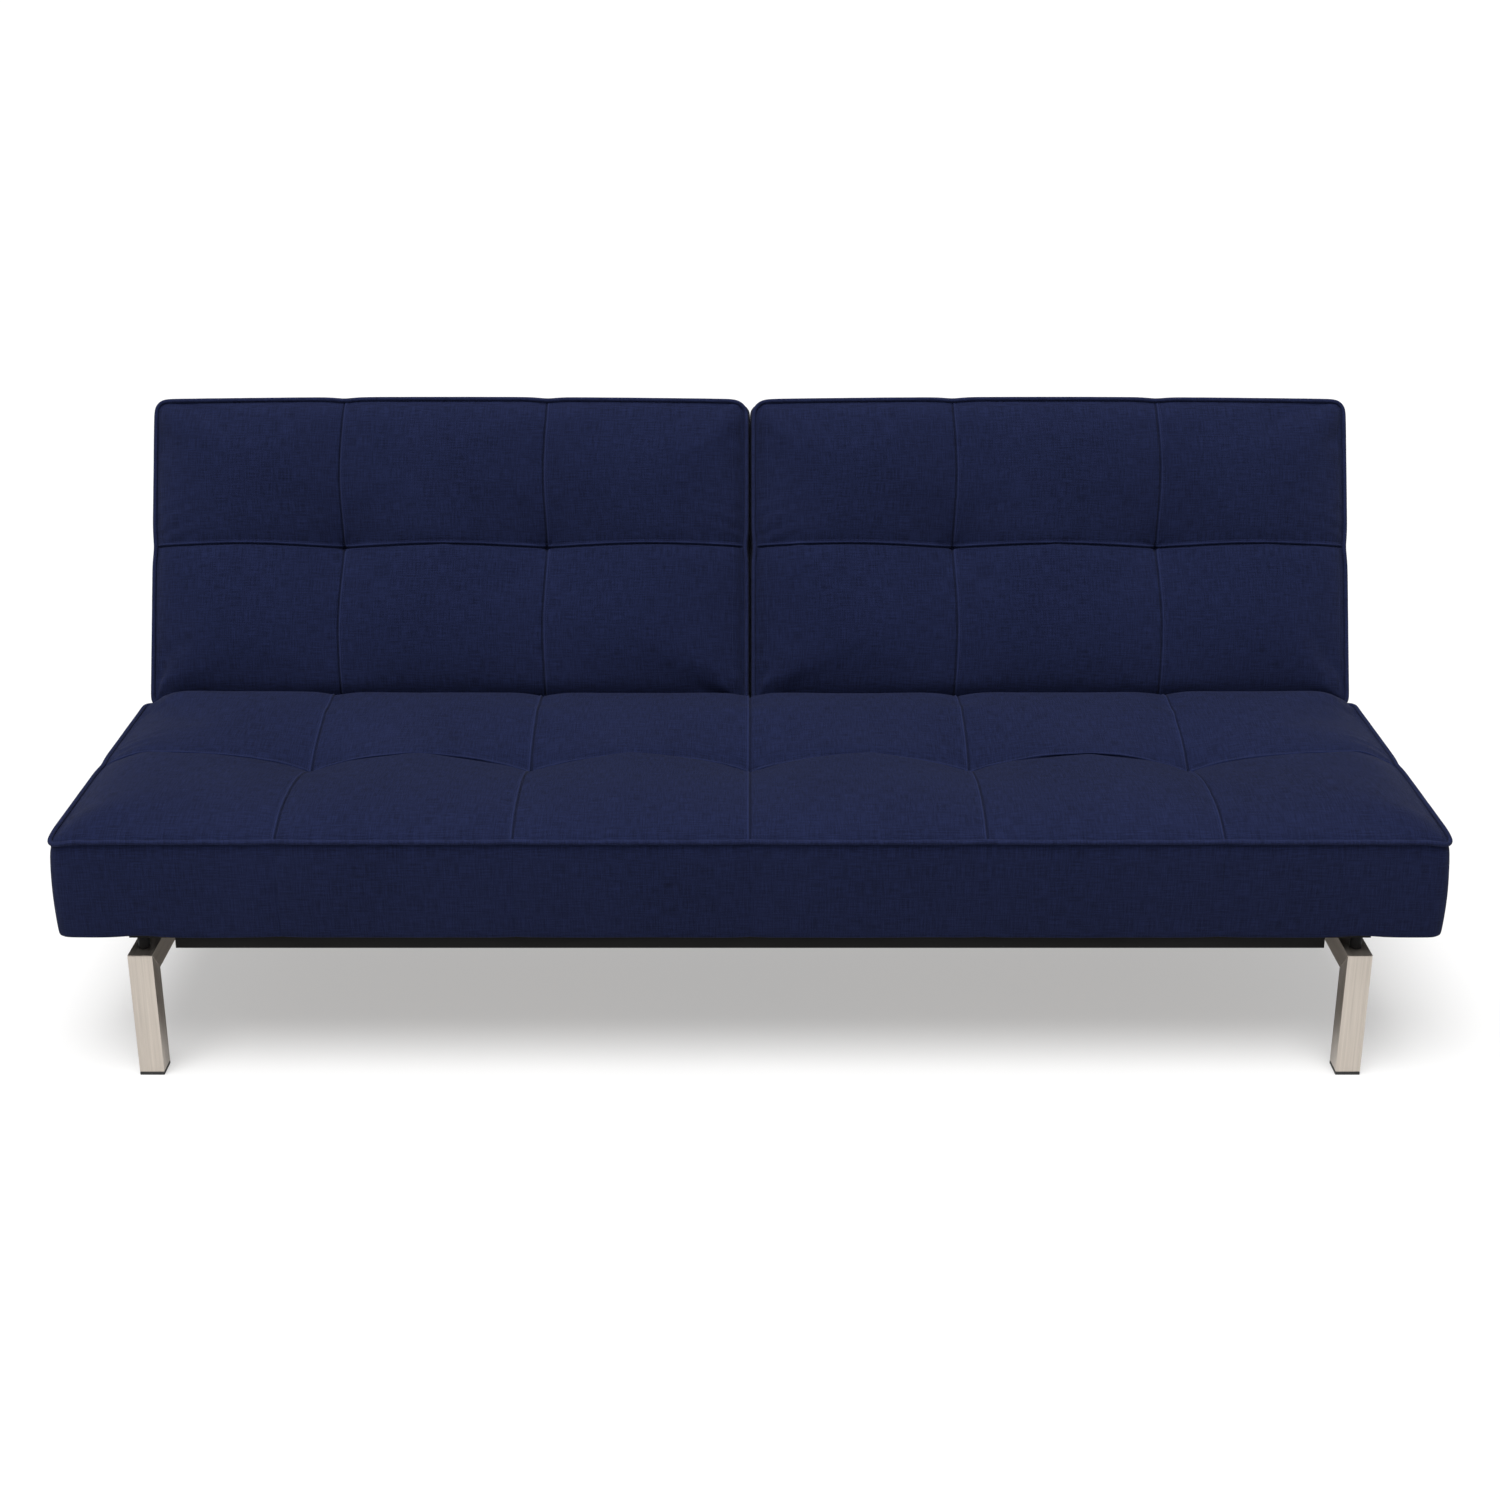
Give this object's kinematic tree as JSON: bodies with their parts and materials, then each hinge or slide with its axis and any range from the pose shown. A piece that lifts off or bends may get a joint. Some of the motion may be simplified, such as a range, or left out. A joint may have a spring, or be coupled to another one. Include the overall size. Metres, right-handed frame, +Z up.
{
  "type": "sofa bed",
  "caption": "Sofa bed with a padded bench seat on two steel leg frames and a split padded back whose halves recline separately to lie level with the seat.",
  "frame": {"origin": "on the floor, under the middle of the sofa's bounding box with the backs upright", "axes": "+Z up, +X along the sofa to the sitter's left as seen from the front (the viewer's right), front towards -Y"},
  "size_m": [2.096, 0.9366, 0.8717],
  "materials": {
    "fabric": "matte",
    "brushed_steel": "satin",
    "black_steel": "satin",
    "zinc_steel": "satin",
    "wood": "matte",
    "black_plastic": "matte"
  },
  "bodies": {
    "base": {"front_left_leg": "brushed_steel", "front_left_foot": "black_plastic", "front_left_spacer": "black_steel", "front_left_mount_bolt": "zinc_steel", "front_left_corner_plate": "black_steel", "rear_left_leg": "brushed_steel", "rear_left_foot": "black_plastic", "rear_left_spacer": "black_steel", "rear_left_mount_bolt": "zinc_steel", "rear_left_corner_plate": "black_steel", "left_leg_rail": "brushed_steel", "front_right_leg": "brushed_steel", "front_right_foot": "black_plastic", "front_right_spacer": "black_steel", "front_right_mount_bolt": "zinc_steel", "front_right_corner_plate": "black_steel", "rear_right_leg": "brushed_steel", "rear_right_foot": "black_plastic", "rear_right_spacer": "black_steel", "rear_right_mount_bolt": "zinc_steel", "rear_right_corner_plate": "black_steel", "right_leg_rail": "brushed_steel", "seat_front_rail": "black_steel", "seat_rear_rail": "black_steel", "seat_left_rail": "black_steel", "seat_centre_rail": "black_steel", "seat_right_rail": "black_steel", "seat_slat_1": "wood", "seat_slat_2": "wood", "seat_slat_3": "wood", "seat_slat_4": "wood", "seat_slat_5": "wood", "seat_slat_6": "wood", "seat_slat_7": "wood", "seat_pad": "fabric", "left_inner_hinge_plate": "zinc_steel", "left_inner_pivot_bolt": "zinc_steel", "left_outer_hinge_plate": "zinc_steel", "left_outer_pivot_bolt": "zinc_steel", "left_detent_spring": "zinc_steel", "right_inner_hinge_plate": "zinc_steel", "right_inner_pivot_bolt": "zinc_steel", "right_outer_hinge_plate": "zinc_steel", "right_outer_pivot_bolt": "zinc_steel", "right_detent_spring": "zinc_steel"},
    "left_back": {"left_inner_hinge_arm": "zinc_steel", "left_outer_hinge_arm": "zinc_steel", "left_back_frame": "wood", "left_back_slat_1": "wood", "left_back_slat_2": "wood", "left_back_pad": "fabric", "left_back_panel": "fabric"},
    "right_back": {"right_inner_hinge_arm": "zinc_steel", "right_outer_hinge_arm": "zinc_steel", "right_back_frame": "wood", "right_back_slat_1": "wood", "right_back_slat_2": "wood", "right_back_pad": "fabric", "right_back_panel": "fabric"}
  },
  "joints": [
    {"name": "left_back_recline", "type": "hinge", "parent": "base", "child": "left_back", "pos_m": [-0.447, 0.17274, 0.366], "axis": [-1, 0, 0], "range_deg": [-8, 66.3], "deforming": ["left_detent_spring"]},
    {"name": "right_back_recline", "type": "hinge", "parent": "base", "child": "right_back", "pos_m": [0.447, 0.17274, 0.366], "axis": [-1, 0, 0], "range_deg": [-8, 66.3], "deforming": ["right_detent_spring"]}
  ]
}
